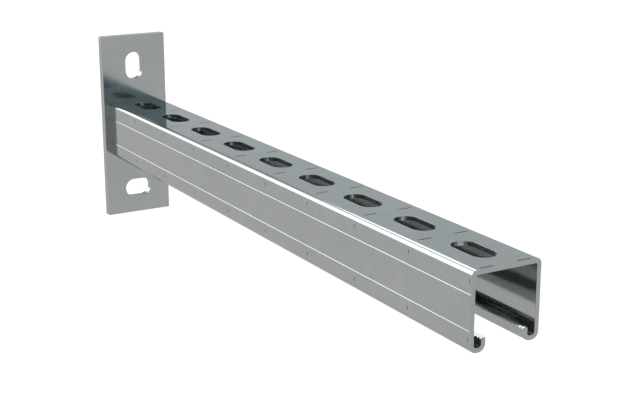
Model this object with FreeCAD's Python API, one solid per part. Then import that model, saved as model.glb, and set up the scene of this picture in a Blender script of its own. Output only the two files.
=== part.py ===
import FreeCAD, Part
import math
import os

# Cantilever strut arm: a rolled C-channel welded square to a flat wall plate.
# Millimetres. The origin is the centre of the plate's wall face, X runs out along
# the arm, Z is up, and the channel's mouth faces down.

# Wall plate, cut from flat bar
plate_height = 137.0
plate_width = 50.0
plate_thickness = 6.0
plate_edge_radius = 0.5

# Fixing slots in the plate: the upper one stands upright, the lower one lies level
fixing_slot_length = 20.5
fixing_slot_width = 13.5
fixing_slot_spacing = 94.5

# Strut channel, rolled from strip
arm_length = 450.0
arm_drop = 2.0  # the channel's middle lies this far below the plate's middle
channel_width = 41.0
channel_height = 41.0
wall = 2.5
mouth_width = 22.5
lip_height = 7.0  # underside of the channel to the tooth tips
web_inner_bend = 0.5
lip_inner_bend = 1.5

# Two shallow V-grooves rolled along the outside of each side wall
groove_spacing = 18.0  # between the two, centred on the channel's height
groove_width = 0.8
groove_depth = 0.2

# Slots through the web
web_slot_length = 28.5
web_slot_width = 13.5
web_slot_pitch = 50.0
first_web_slot = 24.0  # plate's front face to the middle of the first slot

# Serrated edges of the two lips
tooth_pitch = 2.0
tooth_depth = 0.9
tooth_crest = 0.4

# Narrow square-sided cutting marks between the slots, at the slots' pitch
first_mark = 48.5  # plate's front face to the first marks
mark_width = 0.6
mark_depth = 0.2
web_mark_inner = 7.0  # the web's marks run between these distances from its middle line
web_mark_outer = 15.0
side_mark_height = 2.2
side_mark_upper = 5.1  # top of the web to the middle of a side wall's upper mark
side_mark_lower = 6.8  # underside of the channel to the middle of its lower mark

# Fillet weld in the channel's root, inside
weld_leg = 3.5
weld_lip_gap = 3.0  # tooth tips to the lower ends of the weld

overcut = 1.0  # how far a cutting tool reaches past the faces that it cuts
same_point = 1e-6  # ends closer than this need no line between them

plate_front = plate_thickness
channel_base = -arm_drop - channel_height / 2
channel_top = channel_base + channel_height
side_face = channel_width / 2
inner_side_face = side_face - wall
lip_outer_face = mouth_width / 2 + wall
tooth_tip = channel_base + lip_height

X = FreeCAD.Vector(1, 0, 0)
Y = FreeCAD.Vector(0, 1, 0)
Z = FreeCAD.Vector(0, 0, 1)


# A flat face inside a polygon whose corners are (point, radius) pairs.
def rounded_face(corners):
    edges = []
    starts_and_ends = []
    for i, (point, radius) in enumerate(corners):
        if radius <= 0:
            starts_and_ends.append((point, point))
            continue
        back = (corners[i - 1][0] - point).normalize()
        ahead = (corners[(i + 1) % len(corners)][0] - point).normalize()
        half_angle = back.getAngle(ahead) / 2
        tangent = radius / math.tan(half_angle)
        inward = (back + ahead).normalize()
        middle = point + inward * (radius / math.sin(half_angle) - radius)
        start = point + back * tangent
        end = point + ahead * tangent
        starts_and_ends.append((start, end))
        edges.append(Part.Arc(start, middle, end).toShape())
    for i, (start, end) in enumerate(starts_and_ends):
        last_end = starts_and_ends[i - 1][1]
        if last_end.distanceToPoint(start) > same_point:
            edges.append(Part.LineSegment(last_end, start).toShape())
    return Part.Face(Part.Wire(Part.__sortEdges__(edges)))


# A slot with round ends, swept from start along depth. long_way is a unit vector.
def slot_tool(start, length, width, long_way, depth):
    across = long_way.cross(depth).normalize() * (width / 2)
    reach = long_way * (length / 2)
    corners = [reach + across, reach - across, -reach - across, across - reach]
    return rounded_face([(start + corner, width / 2) for corner in corners]).extrude(depth)


# A square-sided tool for one mark: along is its run, into points from the face to its floor.
def mark_tool(start, along, into):
    side = along.cross(into).normalize() * (mark_width / 2)
    rim = start - into * overcut
    edge = Part.makePolygon([rim + side, rim + side + along, rim - side + along, rim - side, rim + side])
    return Part.Face(edge).extrude(into * (mark_depth + overcut))


# The channel's cross-section at the plate's front, drawn as one half and its mirror image.
def channel_section():
    low = channel_base
    middle = low + channel_height / 2
    side_and_lip = [(side_face, channel_top, web_inner_bend + wall)]
    for z in (middle + groove_spacing / 2, middle - groove_spacing / 2):
        side_and_lip += [
            (side_face, z + groove_width / 2, 0),
            (side_face - groove_depth, z, 0),
            (side_face, z - groove_width / 2, 0),
        ]
    side_and_lip += [
        (side_face, low, lip_inner_bend + wall),
        (mouth_width / 2, low, lip_inner_bend + wall),
        (mouth_width / 2, tooth_tip, 0),
        (lip_outer_face, tooth_tip, 0),
        (lip_outer_face, low + wall, lip_inner_bend),
        (inner_side_face, low + wall, lip_inner_bend),
        (inner_side_face, channel_top - wall, web_inner_bend),
    ]
    right = [(FreeCAD.Vector(plate_front, y, z), r) for y, z, r in side_and_lip]
    left = [(FreeCAD.Vector(plate_front, -y, z), r) for y, z, r in reversed(side_and_lip)]
    return rounded_face(right + left)


# One comb that cuts the V-shaped gaps between the teeth of both lips.
def tooth_comb():
    gap_slope = tooth_depth / ((tooth_pitch - tooth_crest) / 2)
    root = tooth_tip - tooth_depth
    peak = root + gap_slope * tooth_pitch / 2
    gaps = int(arm_length / tooth_pitch)
    start = plate_front + (arm_length - gaps * tooth_pitch) / 2
    reach = lip_outer_face + overcut
    points = []
    for i in range(gaps):
        points.append(FreeCAD.Vector(start + i * tooth_pitch, -reach, peak))
        points.append(FreeCAD.Vector(start + (i + 0.5) * tooth_pitch, -reach, root))
    points.append(FreeCAD.Vector(start + gaps * tooth_pitch, -reach, peak))
    points.append(FreeCAD.Vector(start + gaps * tooth_pitch, -reach, peak + overcut))
    points.append(FreeCAD.Vector(start, -reach, peak + overcut))
    return Part.Face(Part.makePolygon(points + points[:1])).extrude(Y * 2 * reach)


# Places along the arm at the slots' pitch, as far as whole features of this length fit.
def stations(first, length):
    room = arm_length - first - length / 2
    count = int(room / web_slot_pitch) + 1
    return [plate_front + first + i * web_slot_pitch for i in range(count)]


# Marks at one station: two across the web, and one near the top and bottom of each side wall.
def mark_tools(x):
    tools = []
    upper = channel_top - side_mark_upper - side_mark_height / 2
    lower = channel_base + side_mark_lower - side_mark_height / 2
    for side in (-1, 1):
        web_start = FreeCAD.Vector(x, side * web_mark_inner, channel_top)
        run = Y * side * (web_mark_outer - web_mark_inner)
        tools.append(mark_tool(web_start, run, -Z))
        for z in (upper, lower):
            side_start = FreeCAD.Vector(x, side * side_face, z)
            tools.append(mark_tool(side_start, Z * side_mark_height, -Y * side))
    return tools


def make_wall_plate():
    corner = FreeCAD.Vector(0, -plate_width / 2, -plate_height / 2)
    plate = Part.makeBox(plate_thickness, plate_width, plate_height, corner)
    front_edges = [e for e in plate.Edges if e.BoundBox.XMin > plate_thickness / 2]
    plate = plate.makeFillet(plate_edge_radius, front_edges)
    through = X * (plate_thickness + 2 * overcut)
    for side, long_way in ((1, Z), (-1, Y)):
        middle = FreeCAD.Vector(-overcut, 0, -arm_drop + side * fixing_slot_spacing / 2)
        plate = plate.cut(slot_tool(middle, fixing_slot_length, fixing_slot_width, long_way, through))
    return plate


def make_strut_channel():
    channel = channel_section().extrude(X * arm_length)
    tools = [tooth_comb()]
    down = -Z * (wall + 2 * overcut)
    for x in stations(first_web_slot, web_slot_length):
        start = FreeCAD.Vector(x, 0, channel_top + overcut)
        tools.append(slot_tool(start, web_slot_length, web_slot_width, X, down))
    for x in stations(first_mark, mark_width):
        tools.extend(mark_tools(x))
    return channel.cut(tools)


# The weld runs up one inner side, across under the web and down the other side. It is
# what is left of a block when the channel and a core with three bevelled edges are taken away.
def make_weld_bead(channel):
    low = tooth_tip + weld_lip_gap
    high = channel_top - wall
    spread = side_face - wall / 2
    corner = FreeCAD.Vector(plate_front, -spread, low)
    block = Part.makeBox(weld_leg, 2 * spread, high + wall / 2 - low, corner)
    corner = FreeCAD.Vector(plate_front, -inner_side_face, low - weld_leg - overcut)
    core = Part.makeBox(weld_leg + overcut, 2 * inner_side_face, high - corner.z, corner)
    bevelled = [e for e in core.Edges if e.BoundBox.XMax < plate_front + weld_leg and e.BoundBox.ZMax > low]
    core = core.makeChamfer(weld_leg, bevelled)
    return block.cut([core, channel])


def main():
    channel = make_strut_channel()
    nodes = {
        "wall_plate": make_wall_plate(),
        "strut_channel": channel,
        "weld_bead": make_weld_bead(channel),
    }
    os.makedirs("parts", exist_ok=True)
    for name, shape in nodes.items():
        shape = shape.removeSplitter()
        if len(shape.Solids) == 1:
            shape = shape.Solids[0]
        print(name, "valid", shape.isValid(), "solids", len(shape.Solids), "cm3", round(shape.Volume / 1000, 3))
        shape.exportStep("parts/" + name + ".step")


main()
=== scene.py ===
import bpy
import bmesh
import math
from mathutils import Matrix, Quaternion, Vector


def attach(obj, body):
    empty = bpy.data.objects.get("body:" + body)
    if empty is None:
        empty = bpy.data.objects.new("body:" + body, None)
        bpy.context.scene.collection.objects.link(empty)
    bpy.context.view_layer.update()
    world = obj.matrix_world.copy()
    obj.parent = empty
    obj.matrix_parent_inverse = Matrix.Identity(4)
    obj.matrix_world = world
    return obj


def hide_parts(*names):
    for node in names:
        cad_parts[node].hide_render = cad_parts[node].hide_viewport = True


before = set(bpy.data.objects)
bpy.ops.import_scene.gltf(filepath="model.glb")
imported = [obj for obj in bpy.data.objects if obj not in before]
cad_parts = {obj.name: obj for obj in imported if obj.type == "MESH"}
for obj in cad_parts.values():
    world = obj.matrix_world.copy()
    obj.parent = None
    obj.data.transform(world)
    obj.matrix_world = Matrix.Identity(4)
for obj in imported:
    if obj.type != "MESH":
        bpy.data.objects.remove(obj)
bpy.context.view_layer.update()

mm = 0.001
joinWithin = 0.002 * mm     # points of one mesh that become one
seam = 0.004 * mm           # the same where one bay or cap meets the next
hair = 0.01                 # mm, for telling which face a point lies on
white = (1, 1, 1, 1)
black = (0, 0, 0, 1)
scene = bpy.context.scene
print("frame loaded:", ", ".join(sorted(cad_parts)))


# points are in mm here, and in metres in the mesh
def addLoop(bm, points):
    return [bm.verts.new(Vector(p) * mm) for p in points]


# faces between each row of points and the next
def bridgeRows(bm, rows, closed=True):
    for first, second in zip(rows, rows[1:]):
        count = len(first)
        for i in range(count if closed else count - 1):
            j = (i + 1) % count
            bm.faces.new((first[i], first[j], second[j], second[i]))


# fills a flat area between one outer loop and any holes in it
def fillFlat(bm, loops):
    edges = []
    for loop in loops:
        for i, vert in enumerate(loop):
            pair = (vert, loop[(i + 1) % len(loop)])
            edges.append(bm.edges.get(pair) or bm.edges.new(pair))
    bmesh.ops.triangle_fill(bm, use_beauty=True, use_dissolve=False, edges=edges)


def arcPoints(centre, radius, fromDegrees, toDegrees, steps):
    points = []
    for i in range(steps + 1):
        a = math.radians(fromDegrees + (toDegrees - fromDegrees) * i / steps)
        points.append((centre[0] + radius * math.cos(a), centre[1] + radius * math.sin(a)))
    return points


# outline of a slot with round ends, grown outwards by "grow"; the long way is the first axis
def slotOutline(size, grow):
    radius = size["slotWidth"] / 2 + grow
    reach = (size["slotLength"] - size["slotWidth"]) / 2
    steps = size["slotSteps"]
    return arcPoints((reach, 0), radius, -90, 90, steps) + arcPoints((-reach, 0), radius, 90, 270, steps)


# a rounded edge as (depth under the face, distance from the wall) pairs, from the face to the wall
def edgeSteps(radius, steps):
    angles = [math.radians(90 * i / steps) for i in range(steps + 1)]
    return [(radius * (1 - math.cos(a)), radius * (1 - math.sin(a))) for a in angles]


def meshObject(name, bm, material=None):
    mesh = bpy.data.meshes.new(name)
    bm.to_mesh(mesh)
    bm.free()
    obj = bpy.data.objects.new(name, mesh)
    scene.collection.objects.link(obj)
    if material:
        mesh.materials.append(material)
    return obj


# joins points that meet and turns the faces outwards: the highest face, a level one first, looks up
def faceOutwards(bm):
    bmesh.ops.remove_doubles(bm, verts=bm.verts, dist=joinWithin)
    bmesh.ops.recalc_face_normals(bm, faces=bm.faces)
    top = max(bm.faces, key=lambda f: f.calc_center_median().z + (mm if abs(f.normal.z) > 0.9 else 0))
    if top.normal.z < 0:
        bmesh.ops.reverse_faces(bm, faces=bm.faces)


def smoothShade(obj, degrees=35):
    mesh = obj.data
    mesh.shade_smooth()
    mesh.set_sharp_from_angle(angle=math.radians(degrees))
    weighted = obj.modifiers.new("weighted", "WEIGHTED_NORMAL")
    weighted.mode = "FACE_AREA"
    weighted.weight = 100
    weighted.keep_sharp = True


def report(obj):
    bm = bmesh.new()
    bm.from_mesh(obj.data)
    openEdges = sum(1 for e in bm.edges if not e.is_manifold)
    triangles = sum(len(f.verts) - 2 for f in bm.faces)
    volume = round(bm.calc_volume(signed=True) / (10 * mm) ** 3, 3)
    print(obj.name, "triangles", triangles, "open edges", openEdges, "cm3", volume)
    bm.free()


# one socket, so that plain expressions add Math nodes
class Wire:
    def __init__(self, nodes, socket):
        self.nodes = nodes
        self.socket = socket

    def __add__(self, other):
        return self.nodes.maths("ADD", self, other)

    def __sub__(self, other):
        return self.nodes.maths("SUBTRACT", self, other)

    def __rsub__(self, other):
        return self.nodes.maths("SUBTRACT", other, self)

    def __mul__(self, other):
        return self.nodes.maths("MULTIPLY", self, other)

    __radd__ = __add__
    __rmul__ = __mul__


# a node tree that is built node by node
class Nodes:
    def __init__(self, tree):
        self.tree = tree

    # one node: its settings first, then the values and links of its sockets
    def node(self, kind, settings=None, sockets=None, out=0):
        made = self.tree.nodes.new(kind)
        for key, value in (settings or {}).items():
            setattr(made, key, value)
        for key, value in (sockets or {}).items():
            self.plug(made.inputs[key], value)
        return Wire(self, made.outputs[out])

    # a list is for a socket that takes several links
    def plug(self, socket, value):
        for one in value if isinstance(value, list) else [value]:
            if isinstance(one, Wire):
                self.tree.links.new(one.socket, socket)
            else:
                socket.default_value = one

    def maths(self, operation, first, second=0.0):
        return self.node("ShaderNodeMath", {"operation": operation}, {0: first, 1: second})


# a material, or the light of the room
class Finish(Nodes):
    def __init__(self, owner, shader="Principled BSDF"):
        owner.use_nodes = True
        super().__init__(owner.node_tree)
        self.owner = owner
        self.shader = self.tree.nodes[shader]

    def place(self, scale=(1, 1, 1)):
        coords = self.node("ShaderNodeTexCoord", out="Object")
        return self.node("ShaderNodeMapping", None, {"Vector": coords, "Scale": scale})

    def noise(self, place, scale, detail, roughness):
        sockets = {"Vector": place, "Scale": scale, "Detail": detail, "Roughness": roughness}
        return self.node("ShaderNodeTexNoise", None, sockets)

    def attribute(self, name):
        settings = {"attribute_type": "GEOMETRY", "attribute_name": name}
        return self.node("ShaderNodeAttribute", settings, out="Fac")

    def clip(self, wire, low, high):
        return self.node("ShaderNodeMapRange", {"clamp": True}, {0: wire, 1: low, 2: high})

    def tint(self, share, first, second):
        return self.node("ShaderNodeMix", {"data_type": "RGBA"}, {0: share, 6: first, 7: second}, out=2)

    def bump(self, look, height):
        sockets = {"Strength": look["bumpStrength"], "Distance": look["bumpDepth"], "Height": height}
        return self.node("ShaderNodeBump", None, sockets)

    def setShader(self, sockets):
        for key, value in sockets.items():
            self.plug(self.shader.inputs[key], value)


zincLook = {
    "pale": (0.330, 0.357, 0.357, 1),
    "dull": (0.292, 0.320, 0.322, 1),
    "cut": (0.262, 0.285, 0.287, 1),
    # painted shade: the colour of the cutting marks' walls and floors, standing in for the shade inside these
    # narrow grooves
    "mark": (0.10, 0.11, 0.11, 1),
    "edgeTint": (0.74, 0.74, 0.74, 1),
    "metallic": 0.9,
    "roughness": 0.09,
    "cutRoughness": 0.24,
    "grain": (14, 1500, 1500),      # low where the rolling grain runs
    "spangleScale": 190.0,
    "cloudScale": 26.0,
    "dustScale": 2600.0,
    "shearGrain": (900, 900, 60),
    # how much each pattern adds to the shade, the roughness and the bump
    "grainShade": 0.45,
    "spangleShade": 0.2,
    "cloudShade": 0.35,
    "shadeRange": (0.3, 0.7),
    "grainRough": 0.05,
    "spangleRough": 0.012,
    "cloudRough": 0.05,
    "shearRough": 0.12,
    "grainBump": 0.6,
    "spangleBump": 0.15,
    "dustBump": 0.25,
    "shearBump": 1.4,
    "bumpStrength": 0.5,
    "bumpDepth": 0.0000035,
}


# bright zinc on rolled strip or bar: faint grain one way, faint spangle, dull patches, painted shade in the
# cutting marks and rougher sheared faces
def makeZinc(name, look):
    f = Finish(bpy.data.materials.new(name))
    grain = f.noise(f.place(look["grain"]), scale=1.0, detail=4.0, roughness=0.6)
    cells = {"Vector": f.place(), "Scale": look["spangleScale"]}
    spangle = f.node("ShaderNodeTexVoronoi", {"feature": "F1"}, cells, out="Color")
    spangle = f.node("ShaderNodeRGBToBW", None, {0: spangle})
    clouds = f.noise(f.place(), look["cloudScale"], detail=3.0, roughness=0.55)
    dust = f.noise(f.place(), look["dustScale"], detail=2.0, roughness=0.5)
    shear = f.noise(f.place(look["shearGrain"]), scale=1.0, detail=3.0, roughness=0.6)
    cut = f.attribute("cutFace")

    shade = grain * look["grainShade"] + spangle * look["spangleShade"] + clouds * look["cloudShade"]
    colour = f.tint(f.clip(shade, *look["shadeRange"]), look["dull"], look["pale"])
    # painted shade: the cutting marks are darkened in the colour itself
    colour = f.tint(f.attribute("inMark"), colour, look["mark"])
    colour = f.tint(cut, colour, f.tint(shear, look["cut"], look["dull"]))

    rough = look["roughness"] + (clouds - 0.5) * look["cloudRough"] + (grain - 0.5) * look["grainRough"]
    rough = rough + (spangle - 0.5) * look["spangleRough"]
    cutRough = look["cutRoughness"] + (shear - 0.5) * look["shearRough"]
    rough = rough * (1 - cut) + cutRough * cut

    height = grain * look["grainBump"] + dust * look["dustBump"] + spangle * look["spangleBump"]
    height = height * (1 - cut) + shear * look["shearBump"] * cut
    f.setShader({"Base Color": colour, "Metallic": look["metallic"], "Roughness": rough,
                 "Specular Tint": look["edgeTint"], "Normal": f.bump(look, height)})
    return f.owner


channelZinc = makeZinc("channelZinc", zincLook)
plateZinc = makeZinc("plateZinc", {**zincLook, "grain": (1300, 1300, 16), "roughness": 0.12})


weldLook = {
    "pale": (0.27, 0.29, 0.29, 1),
    "dull": (0.19, 0.205, 0.21, 1),
    "metallic": 1.0,
    "roughness": 0.3,
    "sootScale": 420.0,
    "gritScale": 2400.0,
    # weight of the shade painted into the ripples' hollows
    "paintedHollowShadeWeight": 0.6,
    "sootShade": 0.4,
    "shadeRange": (0.2, 0.85),
    "sootRough": 0.2,
    "sootBump": 0.5,
    "gritBump": 0.5,
    "bumpStrength": 0.6,
    "bumpDepth": 0.00002,
}


# zinc over weld metal: duller and rougher, with shade painted into the ripples' hollows
def makeWeldZinc(name, look):
    f = Finish(bpy.data.materials.new(name))
    soot = f.noise(f.place(), look["sootScale"], detail=4.0, roughness=0.6)
    grit = f.noise(f.place(), look["gritScale"], detail=3.0, roughness=0.6)
    # painted shade: darker where a ripple is pressed deepest, paler on the crests
    shade = (1 - f.attribute("hollow")) * look["paintedHollowShadeWeight"] + soot * look["sootShade"]
    colour = f.tint(f.clip(shade, *look["shadeRange"]), look["dull"], look["pale"])
    rough = look["roughness"] + (soot - 0.5) * look["sootRough"]
    height = grit * look["gritBump"] + soot * look["sootBump"]
    f.setShader({"Base Color": colour, "Metallic": look["metallic"], "Roughness": rough,
                 "Normal": f.bump(look, height)})
    return f.owner


weldZinc = makeWeldZinc("weldZinc", weldLook)
print("materials made")


# one Geometry Nodes tree with named inputs
class Tree(Nodes):
    def __init__(self, name, inputs):
        super().__init__(bpy.data.node_groups.new(name, "GeometryNodeTree"))
        self.source = self.tree.nodes.new("NodeGroupInput")
        self.sink = self.tree.nodes.new("NodeGroupOutput")
        self.identifiers = {}
        self.addInput("Geometry", "Geometry")
        self.tree.interface.new_socket("Geometry", in_out="OUTPUT", socket_type="NodeSocketGeometry")
        for kind, names in inputs.items():
            for inputName in names:
                self.addInput(inputName, kind)

    def addInput(self, name, kind):
        socket = self.tree.interface.new_socket(name, in_out="INPUT", socket_type="NodeSocket" + kind)
        self.identifiers[name] = socket.identifier

    def given(self, name):
        return Wire(self, self.source.outputs[name])

    # realizes what the tree made and gives it its material
    def finish(self, geometry):
        whole = self.node("GeometryNodeRealizeInstances", None, {0: geometry})
        sockets = {"Geometry": whole, "Material": self.given("Material")}
        self.plug(self.sink.inputs[0], self.node("GeometryNodeSetMaterial", None, sockets))

    # runs the tree on an object and leaves it a plain mesh
    def apply(self, obj, values):
        modifier = obj.modifiers.new(self.tree.name, "NODES")
        modifier.node_group = self.tree
        for name, value in values.items():
            modifier[self.identifiers[name]] = value
        graph = bpy.context.evaluated_depsgraph_get()
        mesh = bpy.data.meshes.new_from_object(obj.evaluated_get(graph), depsgraph=graph)
        obj.modifiers.remove(modifier)
        old = obj.data
        obj.data = mesh
        bpy.data.meshes.remove(old)
        mesh.name = obj.name


# the strut channel is one 50 mm bay of rolled strip, repeated along the arm
channel = {
    "plateFront": 6.0,
    "bays": 9,
    "bayLength": 50.0,
    "width": 41.0,
    "top": 18.5,
    "underside": -22.5,
    "sheet": 2.5,
    "topBend": 3.0,         # outer radii
    "lipBend": 4.0,
    "outerBendSteps": 9,
    "webBendSteps": 5,      # inside
    "lipBendSteps": 6,
    "mouth": 22.5,
    "lipTip": -15.5,
    "tipEase": 0.12,
    "endEase": 0.12,
    "endSoftness": 0.3,     # where the middle row of an eased end lies
    "grooves": (7.0, -11.0),
    "grooveWidth": 0.8,
    "grooveDepth": 0.2,
    # from a groove's edge to its root: shares of half the width and of the depth
    "grooveProfile": ((1.18, 0), (0.86, 0.1), (0.2, 0.82), (0, 0.92)),
    "slotLength": 28.5,
    "slotWidth": 13.5,
    "slotCentre": 24.0,
    "slotSteps": 14,
    "dieRoll": 0.06,        # rounded rim where the punch entered
    "dieRollSteps": 3,
    "burr": 0.05,
    "toothPitch": 2.0,
    "toothDepth": 0.9,
    "toothCrest": 0.4,
    "toothEase": 0.06,
    "markAt": 48.6,
    "webMarkWidth": 0.8,
    "sideMarkWidth": 0.6,
    "markDepth": 0.2,
    "webMark": (7.0, 15.0),
    "sideMarks": ((12.3, 14.5), (-16.8, -14.6)),
    # how much of the sheared look, and of the painted shade in the cutting marks, each place has
    "slotShear": 1.0,
    "toothShear": 0.5,
    "endShear": 0.25,
    "webMarkPaintedShade": 1.0,
    "sideMarkPaintedShade": 0.3,
}


# a groove from its upper edge to its lower one, as (height, depth)
def grooveSteps(c, z):
    half = c["grooveWidth"] / 2
    deep = c["grooveDepth"]
    profile = c["grooveProfile"]
    upper = [(z + half * out, deep * down) for out, down in profile]
    return upper + [(z - half * out, deep * down) for out, down in reversed(profile[:-1])]


# the section's half with y > 0 as (y, z): the outside from the tooth tip to the web, then the inside back
def halfSection(c):
    half = c["width"] / 2
    mouth = c["mouth"] / 2
    sheet = c["sheet"]
    tipEdge = c["lipTip"] - c["tipEase"]
    lip, bend = c["lipBend"], c["topBend"]
    mouthCorner = (mouth + lip, c["underside"] + lip)
    sideCorner = (half - lip, c["underside"] + lip)
    webCorner = (half - bend, c["top"] - bend)

    outer = [(mouth, tipEdge)]
    outer += arcPoints(mouthCorner, lip, 180, 270, c["outerBendSteps"])
    outer += arcPoints(sideCorner, lip, 270, 360, c["outerBendSteps"])
    for z in sorted(c["grooves"]):
        outer += [(half - deep, at) for at, deep in reversed(grooveSteps(c, z))]
    outer += arcPoints(webCorner, bend, 0, 90, c["outerBendSteps"])

    within = arcPoints(webCorner, bend - sheet, 90, 0, c["webBendSteps"])
    within += arcPoints(sideCorner, lip - sheet, 360, 270, c["lipBendSteps"])
    within += arcPoints(mouthCorner, lip - sheet, 270, 180, c["lipBendSteps"])
    within += [(mouth + sheet, tipEdge)]
    return outer, within


# the line of the tooth tips along one bay, as (x, depth under the crest)
def toothColumns(c):
    pitch, ease, crest = c["toothPitch"], c["toothEase"], c["toothCrest"] / 2
    slope = c["toothDepth"] / (pitch / 2 - crest)
    shoulder = ease * slope
    root = c["toothDepth"] - shoulder
    columns = [(0.0, 0.0)]
    for i in range(round(c["bayLength"] / pitch)):
        start = i * pitch
        middle = start + pitch / 2
        columns += [
            (start + crest - ease, 0.0),
            (start + crest + ease, shoulder),
            (middle - ease, root),
            (middle + ease, root),
            (start + pitch - crest - ease, shoulder),
            (start + pitch - crest + ease, 0.0),
        ]
    columns.append((c["bayLength"], 0.0))
    return columns


# a narrow square-sided mark cut into a flat: "at" turns (along x, along the run, depth) into a point
def addMark(bm, c, at, run, width):
    first, last = c["markAt"] - width / 2, c["markAt"] + width / 2
    corners = ((first, run[0]), (last, run[0]), (last, run[1]), (first, run[1]))
    rim = addLoop(bm, [at(x, along, 0) for x, along in corners])
    root = addLoop(bm, [at(x, along, c["markDepth"]) for x, along in corners])
    bridgeRows(bm, [rim, root])
    bm.faces.new(root)
    return rim


# the side wall's flats that carry a mark, as (place in the outline, the mark's run)
def markedFlats(c, outline):
    half = c["width"] / 2
    found = []
    for run in c["sideMarks"]:
        for i, ((y0, z0), (y1, z1)) in enumerate(zip(outline, outline[1:])):
            onWall = abs(y0 - half) < hair and abs(y1 - half) < hair
            if onWall and min(z0, z1) < run[0] and max(z0, z1) > run[1]:
                found.append((i, run))
    return found


# faces from one end of the bay to the other along an outline, apart from the gaps
def addStrip(bm, c, outline, gaps=()):
    near = addLoop(bm, [(0, y, z) for y, z in outline])
    far = addLoop(bm, [(c["bayLength"], y, z) for y, z in outline])
    for i in range(len(outline) - 1):
        if i not in gaps:
            bm.faces.new((near[i], near[i + 1], far[i + 1], far[i]))
    return near, far


# one side wall with its lip
def addSide(bm, c, side):
    outer, within = halfSection(c)
    half, mouth, sheet, ease = c["width"] / 2, c["mouth"] / 2, c["sheet"], c["tipEase"]

    def onWall(x, z, deep):
        return x, side * (half - deep), z

    # flats that carry a mark are left open and filled round it
    marked = markedFlats(c, outer[1:])
    near, far = addStrip(bm, c, [(side * y, z) for y, z in outer[1:]], [i for i, run in marked])
    for i, run in marked:
        rim = addMark(bm, c, onWall, run, c["sideMarkWidth"])
        fillFlat(bm, [[near[i], near[i + 1], far[i + 1], far[i]], rim])
    innerNear, innerFar = addStrip(bm, c, [(side * y, z) for y, z in within[:-1]])

    # toothed edge of the lip, and the two faces below it
    rows = [(mouth, ease), (mouth + ease, 0), (mouth + sheet - ease, 0), (mouth + sheet, ease)]
    edges = []
    for y, down in rows:
        edges.append(addLoop(bm, [(x, side * y, c["lipTip"] - down - cut) for x, cut in toothColumns(c)]))
    bridgeRows(bm, edges, closed=False)
    bm.faces.new(edges[0] + [far[0], near[0]])
    bm.faces.new(edges[-1] + [innerFar[-1], innerNear[-1]])


# the web's top and underside round the slot, and the slot's own wall
def addWeb(bm, c):
    outer, within = halfSection(c)
    length, top, sheet = c["bayLength"], c["top"], c["sheet"]
    steps = edgeSteps(c["dieRoll"], c["dieRollSteps"])
    steps += [(sheet - c["burr"], 0), (sheet, c["burr"])]
    rims = []
    for depth, grow in steps:
        rims.append(addLoop(bm, [(c["slotCentre"] + x, y, top - depth) for x, y in slotOutline(c, grow)]))
    bridgeRows(bm, rims)
    marks = []
    for side in (-1, 1):
        def onWeb(x, run, deep):
            return x, side * run, top - deep

        marks.append(addMark(bm, c, onWeb, c["webMark"], c["webMarkWidth"]))
    for y, z, holes in ((outer[-1][0], top, [rims[0]] + marks), (within[0][0], top - sheet, [rims[-1]])):
        corners = addLoop(bm, [(0, -y, z), (length, -y, z), (length, y, z), (0, y, z)])
        fillFlat(bm, [corners] + holes)


# paints shade on every face that reaches down to a cutting mark's floor: fully in the web's marks, partly in
# the side's
def paintShadeInMarks(bm, c):
    mark = bm.faces.layers.float.new("inMark")
    for face in bm.faces:
        points = [v.co / mm for v in face.verts]
        near = all(abs(p.x - c["markAt"]) < c["webMarkWidth"] for p in points)
        inWeb = any(abs(c["top"] - p.z - c["markDepth"]) < hair for p in points)
        inSide = any(abs(c["width"] / 2 - abs(p.y) - c["markDepth"]) < hair for p in points)
        face[mark] = c["webMarkPaintedShade"] if near and inWeb else (c["sideMarkPaintedShade"] if near and inSide else 0.0)


# marks the slot's wall and the tooth edges, which are sheared
def shadeShear(bm, c):
    slotHigh = c["top"] - c["dieRoll"] + hair
    slotLow = c["top"] - c["sheet"] + c["burr"]
    toothFoot = c["lipTip"] - c["toothDepth"] - c["tipEase"] - hair
    cut = bm.verts.layers.float.new("cutFace")
    for v in bm.verts:
        x, y, z = v.co / mm
        inSlot = abs(y) < c["slotWidth"] / 2 + hair and slotLow < z < slotHigh
        onTip = abs(y) < c["mouth"] / 2 + c["sheet"] + hair and toothFoot < z < c["lipTip"] + hair
        v[cut] = c["slotShear"] if inSlot else (c["toothShear"] if onTip else 0.0)


def makeBay(c):
    bm = bmesh.new()
    for side in (-1, 1):
        addSide(bm, c, side)
    addWeb(bm, c)
    faceOutwards(bm)
    paintShadeInMarks(bm, c)
    shadeShear(bm, c)
    return meshObject("strutChannel", bm)


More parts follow.
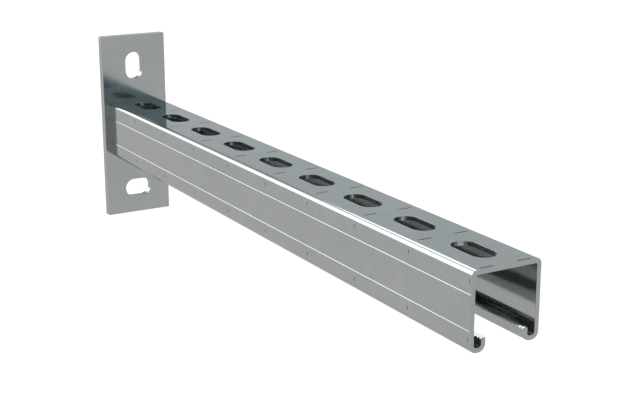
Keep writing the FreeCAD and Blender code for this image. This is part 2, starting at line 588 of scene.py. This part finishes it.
# square-cut end of the channel, with its edge eased
def makeEndCap(c):
    bm = bmesh.new()
    outer, within = halfSection(c)
    ease, tip, inner = c["tipEase"], c["lipTip"], c["mouth"] / 2 + c["sheet"]
    tipRow = [(inner, tip - ease), (inner - ease, tip), (c["mouth"] / 2 + ease, tip)]
    # one closed loop: round the outside from lip to lip, then back inside
    inside = within[:-1] + tipRow
    loop = outer + [(-y, z) for y, z in reversed(inside + outer)] + inside
    # the same loop moved in by the ease, less so at sharp corners
    inset = []
    for i, p in enumerate(loop):
        back = Vector(p) - Vector(loop[i - 1])
        ahead = Vector(loop[(i + 1) % len(loop)]) - Vector(p)
        n1 = Vector((back.y, -back.x)).normalized()
        n2 = Vector((ahead.y, -ahead.x)).normalized()
        n = (n1 + n2).normalized()
        inset.append(Vector(p) - n * c["endEase"] / max(0.5, n.dot(n1)))
    out, soft = c["endEase"], c["endSoftness"]
    rim = addLoop(bm, [(-out, y, z) for y, z in loop])
    between = [(y * (1 - soft) + q.x * soft, z * (1 - soft) + q.y * soft) for (y, z), q in zip(loop, inset)]
    middle = addLoop(bm, [(-out * soft, y, z) for y, z in between])
    face = addLoop(bm, [(0, q.x, q.y) for q in inset])
    bridgeRows(bm, [rim, middle, face])
    fillFlat(bm, [face])
    bmesh.ops.recalc_face_normals(bm, faces=bm.faces)
    if sum(f.normal.x * f.calc_area() for f in bm.faces) < 0:
        bmesh.ops.reverse_faces(bm, faces=bm.faces)
    cut = bm.verts.layers.float.new("cutFace")
    for v in bm.verts:
        v[cut] = c["endShear"] if v.co.x > -hair * mm else 0.0
    return meshObject("strutEnd", bm)


# repeats the bay along the arm, eases the two ends back and closes them with the end cap
def bayTree():
    t = Tree("repeatBays", {
        "Int": ["Bays"],
        "Float": ["Pitch", "Start", "End ease"],
        "Object": ["End cap"],
        "Material": ["Material"],
    })
    bays, pitch, start = t.given("Bays"), t.given("Pitch"), t.given("Start")
    end = start + bays * pitch

    def alongX(value):
        return t.node("ShaderNodeCombineXYZ", None, {0: value})

    sockets = {"Count": bays, "Start Location": alongX(start), "Offset": alongX(pitch)}
    line = t.node("GeometryNodeMeshLine", {"mode": "OFFSET"}, sockets)
    strip = t.node("GeometryNodeInstanceOnPoints", None, {"Points": line, "Instance": t.given("Geometry")})
    strip = t.node("GeometryNodeRealizeInstances", None, {0: strip})
    strip = t.node("GeometryNodeMergeByDistance", None, {"Geometry": strip, "Distance": seam})
    x = t.node("ShaderNodeSeparateXYZ", None, {0: t.node("GeometryNodeInputPosition")})
    atStart = t.maths("LESS_THAN", x, start + seam)
    atEnd = t.maths("GREATER_THAN", x, end - seam)
    offset = alongX((atStart - atEnd) * t.given("End ease"))
    strip = t.node("GeometryNodeSetPosition", None, {"Geometry": strip, "Offset": offset})

    cap = t.node("GeometryNodeObjectInfo", None, {"Object": t.given("End cap")}, out="Geometry")
    farCap = t.node("GeometryNodeTransform", None, {"Geometry": cap, "Translation": alongX(end)})
    turned = {"Geometry": cap, "Rotation": (0, 0, math.pi), "Translation": alongX(start)}
    nearCap = t.node("GeometryNodeTransform", None, turned)
    whole = t.node("GeometryNodeJoinGeometry", None, {0: [strip, farCap, nearCap]})
    t.finish(t.node("GeometryNodeMergeByDistance", None, {"Geometry": whole, "Distance": seam}))
    return t


strutChannel = makeBay(channel)
endCap = makeEndCap(channel)
bayTree().apply(strutChannel, {
    "Bays": channel["bays"],
    "Pitch": channel["bayLength"] * mm,
    "Start": channel["plateFront"] * mm,
    "End ease": channel["endEase"] * mm,
    "End cap": endCap,
    "Material": channelZinc,
})
bpy.data.objects.remove(endCap)
smoothShade(strutChannel)
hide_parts("strut_channel")
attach(strutChannel, "root")
report(strutChannel)


# the wall plate is flat bar with rounded edges and two slots
plate = {
    "thickness": 6.0,
    "width": 50.0,
    "height": 137.0,
    "frontEdge": 0.3,
    "backEdge": 0.25,
    "corner": 0.4,
    "cornerSteps": 4,
    "edgeSteps": 4,
    "slotLength": 20.5,
    "slotWidth": 13.5,
    "slotSteps": 18,
    "upperSlot": 45.25,
    "lowerSlot": -49.25,
    "rim": 0.08,
    "slotShear": 0.8,
}


def plateOutline(p, inset):
    points = []
    radius = p["corner"] - inset
    y, z = p["width"] / 2 - inset - radius, p["height"] / 2 - inset - radius
    for cy, cz, start in ((y, z, 0), (-y, z, 90), (-y, -z, 180), (y, -z, 270)):
        points += arcPoints((cy, cz), radius, start, start + 90, p["cornerSteps"])
    return points


# (x, distance in from the wall) through the plate, with both edges rounded
def throughPlate(p, backRadius, frontRadius):
    back = edgeSteps(backRadius, p["edgeSteps"])
    front = edgeSteps(frontRadius, p["edgeSteps"])
    return back + [(p["thickness"] - depth, inset) for depth, inset in reversed(front)]


def makeWallPlate(p):
    bm = bmesh.new()
    sides = []
    for x, inset in throughPlate(p, p["backEdge"], p["frontEdge"]):
        sides.append(addLoop(bm, [(x, y, z) for y, z in plateOutline(p, inset)]))
    bridgeRows(bm, sides)
    holes = []
    rim = p["rim"]
    for middle, upright in ((p["upperSlot"], True), (p["lowerSlot"], False)):
        rows = []
        for x, grow in throughPlate(p, rim, rim):
            outline = slotOutline(p, grow)
            if upright:
                outline = [(v, u) for u, v in outline]
            rows.append(addLoop(bm, [(x, y, middle + z) for y, z in outline]))
        bridgeRows(bm, rows)
        holes.append(rows)
    for end in (0, -1):
        fillFlat(bm, [sides[end]] + [rows[end] for rows in holes])
    faceOutwards(bm)
    cut = bm.verts.layers.float.new("cutFace")
    for v in bm.verts:
        x, y, z = v.co / mm
        inSlot = abs(y) < p["slotLength"] / 2 + hair and rim - hair < x < p["thickness"] - rim + hair
        v[cut] = p["slotShear"] if inSlot else 0.0
    return meshObject("wallPlate", bm, plateZinc)


wallPlate = makeWallPlate(plate)
smoothShade(wallPlate)
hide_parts("wall_plate")
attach(wallPlate, "root")
report(wallPlate)


# the weld is a fillet round the channel's root, inside, with its ripples
weld = {
    "leg": 3.5,
    "lowEnd": -12.5,
    "innerSide": 18.0,
    "underWeb": 16.0,
    "innerBend": 0.5,
    "bendSteps": 6,
    "step": 0.3,
    "across": 9,            # points from toe to toe
    "sink": 0.06,           # how far the bead reaches into the plate and the channel
    "endSize": 0.35,        # share of the leg at the bead's two ends
    "endRun": 2.5,          # length in which it would grow by a whole leg
    "ripplePitch": 1.5,
    "rippleHeight": 0.22,
    "rippleLag": 1.3,
    "rippleDrift": 0.9,
    "rippleSharpness": 2.2,
    "crown": 0.45,
    "wander": 0.12,
    "wanderRate": 0.45,
    "seed": 3.0,
}


# points along the root, each as (y, z) on the channel's inner face and the way in from it
def weldPath(w):
    side, top, bend = w["innerSide"], w["underWeb"], w["innerBend"]
    rise = top - bend - w["lowEnd"]
    count = round(rise / w["step"])
    up = [((-side, w["lowEnd"] + rise * i / count), (1, 0)) for i in range(count)]
    for i in range(w["bendSteps"] + 1):
        a = math.radians(180 - 90 * i / w["bendSteps"])
        spot = (-side + bend + bend * math.cos(a), top - bend + bend * math.sin(a))
        up.append((spot, (-math.cos(a), -math.sin(a))))
    run = 2 * (side - bend)
    count = round(run / w["step"])
    over = [((-side + bend + run * i / count, top), (0, -1)) for i in range(1, count)]
    down = [((-y, z), (-u, v)) for (y, z), (u, v) in reversed(up)]
    return up + over + down


def makeWeldBase(w):
    bm = bmesh.new()
    along = bm.verts.layers.float.new("along")
    across = bm.verts.layers.float.new("across")
    face = channel["plateFront"]
    leg, sink = w["leg"], w["sink"]
    path = weldPath(w)
    travelled = [0.0]
    for first, second in zip(path, path[1:]):
        travelled.append(travelled[-1] + math.dist(first[0], second[0]))
    rows = []
    for ((y, z), (u, v)), gone in zip(path, travelled):
        # near a corner the toe on the plate stays inside the corner of the two toe lines
        limit = w["innerSide"] - leg
        toeY = max(-limit, min(limit, y + u * leg))
        toeZ = min(w["underWeb"] - leg, z + v * leg)
        size = min(1.0, w["endSize"] + min(gone, travelled[-1] - gone) / w["endRun"])
        row = []
        for k in range(w["across"]):
            share = k / (w["across"] - 1)
            px = face - sink + (leg + sink) * share * size
            py = y + (toeY + (y - u * sink - toeY) * share - y) * size
            pz = z + (toeZ + (z - v * sink - toeZ) * share - z) * size
            vert = bm.verts.new(Vector((px, py, pz)) * mm)
            vert[along] = gone
            vert[across] = share
            row.append(vert)
        root = bm.verts.new(Vector((face - sink, y - u * sink, z - v * sink)) * mm)
        root[along] = gone
        root[across] = -1.0
        rows.append(row + [root])
    bridgeRows(bm, rows)
    for row in (rows[0], rows[-1]):
        bm.faces.new(row)
    bmesh.ops.recalc_face_normals(bm, faces=bm.faces)
    return meshObject("weldBead", bm)


# crowns the bead and presses crescent ripples into it, with a slow wander in height
def rippleTree():
    t = Tree("rippleWeld", {
        "Float": ["Ripple pitch", "Ripple height", "Lag", "Drift", "Sharpness",
                  "Crown", "Wander", "Wander rate", "Seed"],
        "Material": ["Material"],
    })
    along = t.node("GeometryNodeInputNamedAttribute", {"data_type": "FLOAT"}, {"Name": "along"})
    across = t.node("GeometryNodeInputNamedAttribute", {"data_type": "FLOAT"}, {"Name": "across"})
    onFace = t.maths("GREATER_THAN", across, -0.5)
    offMiddle = across * 2.0 - 1.0
    arch = t.maths("MAXIMUM", 1.0 - offMiddle * offMiddle, 0.0)
    sockets = {"W": along * t.given("Wander rate") + t.given("Seed"), "Scale": 1.0, "Detail": 1.0}
    wobble = t.node("ShaderNodeTexNoise", {"noise_dimensions": "1D"}, sockets)

    travel = along - t.given("Lag") * arch + wobble * t.given("Drift")
    wave = t.maths("FRACT", t.maths("DIVIDE", travel, t.given("Ripple pitch")))
    scallop = t.maths("POWER", t.maths("ABSOLUTE", wave * 2.0 - 1.0), t.given("Sharpness"))
    press = scallop * t.given("Ripple height") * t.maths("POWER", arch, 0.5)
    sway = (wobble - 0.5) * t.given("Wander") * arch
    height = (t.given("Crown") * arch - press + sway) * onFace * mm

    # how deep each ripple is pressed, which the weld finish paints as shade in the hollows
    sockets = {"Geometry": t.given("Geometry"), "Name": "hollow", "Value": scallop * arch}
    bead = t.node("GeometryNodeStoreNamedAttribute", {"data_type": "FLOAT", "domain": "POINT"}, sockets)
    sockets = {0: t.node("GeometryNodeInputNormal"), "Scale": height}
    offset = t.node("ShaderNodeVectorMath", {"operation": "SCALE"}, sockets)
    t.finish(t.node("GeometryNodeSetPosition", None, {"Geometry": bead, "Offset": offset}))
    return t


weldBead = makeWeldBase(weld)
rippleTree().apply(weldBead, {
    "Ripple pitch": weld["ripplePitch"],
    "Ripple height": weld["rippleHeight"],
    "Lag": weld["rippleLag"],
    "Drift": weld["rippleDrift"],
    "Sharpness": weld["rippleSharpness"],
    "Crown": weld["crown"],
    "Wander": weld["wander"],
    "Wander rate": weld["wanderRate"],
    "Seed": weld["seed"],
    "Material": weldZinc,
})
smoothShade(weldBead, 50)
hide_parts("weld_bead")
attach(weldBead, "root")
report(weldBead)


studio = {
    "floorHeight": -0.30,
    "floorReach": 14,
    "floorColour": (0.80, 0.76, 0.745, 1),
    "floorLift": 0.13,      # what the camera alone sees more, so that the floor looks white
    "surround": 1.0,
    # dimmer parts of the room: azimuth, elevation and reach in degrees, and colour
    "farSide": (155, 12, 34, (0.83, 0.875, 0.885, 1)),
    "corner": (168, 25, 17, (0.60, 0.63, 0.64, 1)),
    "endSide": (4, 14, 46, (0.38, 0.52, 0.575, 1)),
    "dimCore": 0.35,        # share of the reach that has the full colour
    "armMiddle": 0.23,      # the soft boxes stand round this place on the arm
    "boxDistance": 20.0,
}


# the camera sees white; the metal sees the floor and the dimmer sides of the room
floorMesh = bmesh.new()
bmesh.ops.create_grid(floorMesh, x_segments=1, y_segments=1, size=studio["floorReach"])
floorFinish = Finish(bpy.data.materials.new("paleFloor"))
seen = floorFinish.node("ShaderNodeLightPath", out="Is Camera Ray")
floorFinish.setShader({"Base Color": studio["floorColour"], "Roughness": 0.9, "Specular IOR Level": 0.1,
                       "Emission Color": floorFinish.tint(seen, black, white),
                       "Emission Strength": studio["floorLift"]})
floor = meshObject("floor", floorMesh, floorFinish.owner)
floor.location.z = studio["floorHeight"]


# the direction at an azimuth, from +X towards +Y, and an elevation
def towards(azimuth, elevation):
    a, e = math.radians(azimuth), math.radians(elevation)
    return Vector((math.cos(a) * math.cos(e), math.sin(a) * math.cos(e), math.sin(e)))


world = bpy.data.worlds.new("whiteRoom")
scene.world = world
room = Finish(world, "Background")
gaze = room.node("ShaderNodeTexCoord", out="Generated")
colour = white
for side in ("farSide", "corner", "endSide"):
    azimuth, elevation, reach, dim = studio[side]
    sockets = {0: gaze, 1: towards(azimuth, elevation)}
    near = room.node("ShaderNodeVectorMath", {"operation": "DOT_PRODUCT"}, sockets, out="Value")
    edge, core = math.cos(math.radians(reach)), math.cos(math.radians(reach * studio["dimCore"]))
    share = room.node("ShaderNodeMapRange", {"interpolation_type": "SMOOTHSTEP"}, {0: near, 1: edge, 2: core})
    colour = room.tint(share, colour, dim)
colour = room.tint(room.node("ShaderNodeLightPath", out="Is Camera Ray"), colour, white)
room.setShader({"Color": colour, "Strength": studio["surround"]})


# a soft box seen from the arm's middle: azimuth, elevation, half-width and half-height in degrees;
# an upright one stands like a wall, any other faces the arm
def addSoftBox(name, azimuth, elevation, halfWide, halfTall, radiance, roll=0, upright=False):
    light = bpy.data.lights.new(name, "AREA")
    light.shape = "RECTANGLE"
    distance = studio["boxDistance"]
    low, high = (distance * math.tan(math.radians(elevation + side * halfTall)) for side in (-1, 1))
    light.size = 2 * distance * math.tan(math.radians(halfWide))
    light.size_y = high - low if upright else 2 * distance * math.tan(math.radians(halfTall))
    light.energy = radiance * math.pi * light.size * light.size_y
    box = bpy.data.objects.new(name, light)
    scene.collection.objects.link(box)
    way = towards(azimuth, 0 if upright else elevation)
    box.location = Vector((studio["armMiddle"], 0, (low + high) / 2 if upright else 0)) + way * distance
    box.rotation_mode = "QUATERNION"
    box.rotation_quaternion = way.to_track_quat("Z", "Y") @ Quaternion((0, 0, 1), math.radians(roll))


addSoftBox("longSoftBox", -154.75, 27, 16.75, 22.5, 2.72, upright=True)
addSoftBox("rearSoftBox", 153, 37, 14.5, 9.8, 2.9, roll=33.5)
addSoftBox("sideSoftBox", 52, 52, 9.4, 9.4, 4.0)


view = {
    "place": (0.896763, -0.358042, 0.206891),
    "yaw": 59.7208,             # degrees, from +Y towards -X
    "pitch": 15.3869,           # degrees, downwards
    "picture": (640, 406),
    "focal": 1274.498,          # in pixels of that picture
    "centre": (320.0, 193.378),
    "sensor": 36,               # mm
}

camera = bpy.data.cameras.new("camera")
cameraObject = bpy.data.objects.new("camera", camera)
scene.collection.objects.link(cameraObject)
scene.camera = cameraObject
yaw, pitch = math.radians(view["yaw"]), math.radians(view["pitch"])
ahead = Vector((-math.sin(yaw) * math.cos(pitch), math.cos(yaw) * math.cos(pitch), -math.sin(pitch)))
cameraObject.location = view["place"]
cameraObject.rotation_mode = "QUATERNION"
cameraObject.rotation_quaternion = ahead.to_track_quat("-Z", "Y")
wide, tall = view["picture"]
camera.sensor_width = view["sensor"]
camera.lens = view["focal"] * view["sensor"] / wide
camera.shift_x = (wide / 2 - view["centre"][0]) / wide
camera.shift_y = (view["centre"][1] - tall / 2) / wide
scene.view_settings.view_transform = "Standard"
print("studio and camera set")
